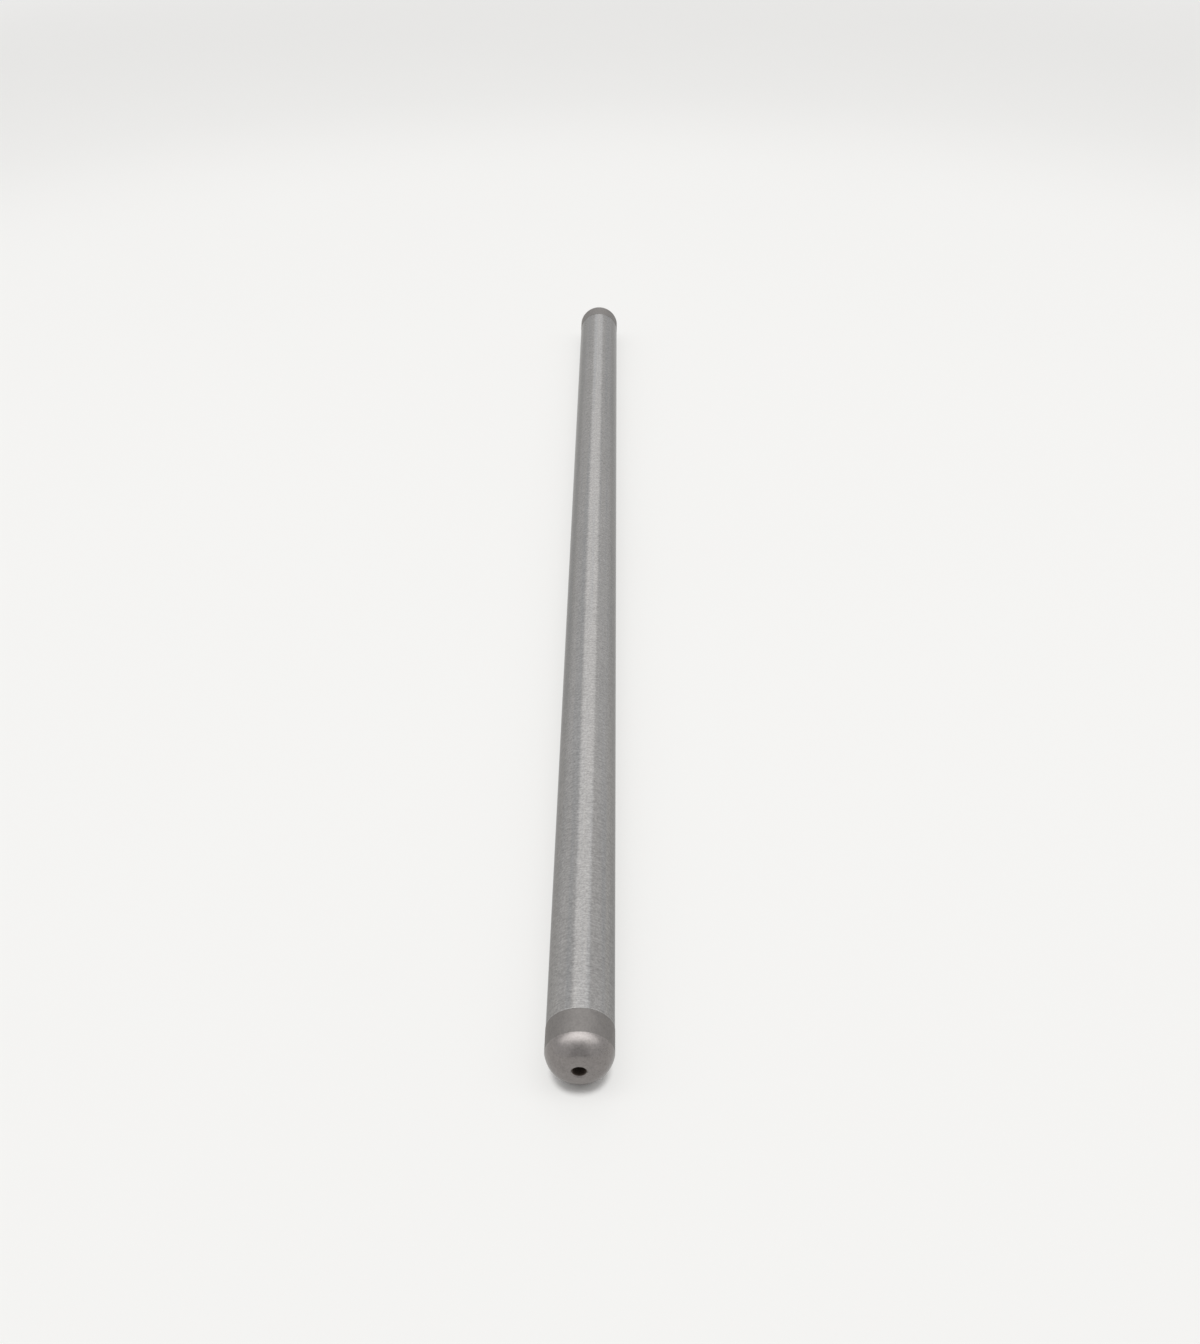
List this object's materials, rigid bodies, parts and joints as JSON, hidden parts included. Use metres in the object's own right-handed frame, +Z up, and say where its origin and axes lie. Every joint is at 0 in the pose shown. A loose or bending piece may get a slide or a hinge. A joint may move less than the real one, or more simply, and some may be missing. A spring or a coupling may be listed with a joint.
{
  "type": "engine pushrod",
  "caption": "Straight steel pushrod: a tube with a drilled ball tip pressed into each end, carrying valve motion and oil from lifter to rocker arm.",
  "frame": {"origin": "middle of the rod, on its axis", "axes": "+Y along the rod towards the rocker tip, +Z up as the rod lies, +X to the right"},
  "size_m": [0.0078, 0.1982, 0.0078],
  "materials": {
    "tube_steel": "satin, tumbled",
    "tip_steel": "satin, hardened and ground"
  },
  "bodies": {
    "root": {"tube": "tube_steel", "lifter_tip": "tip_steel", "rocker_tip": "tip_steel"}
  },
  "joints": []
}
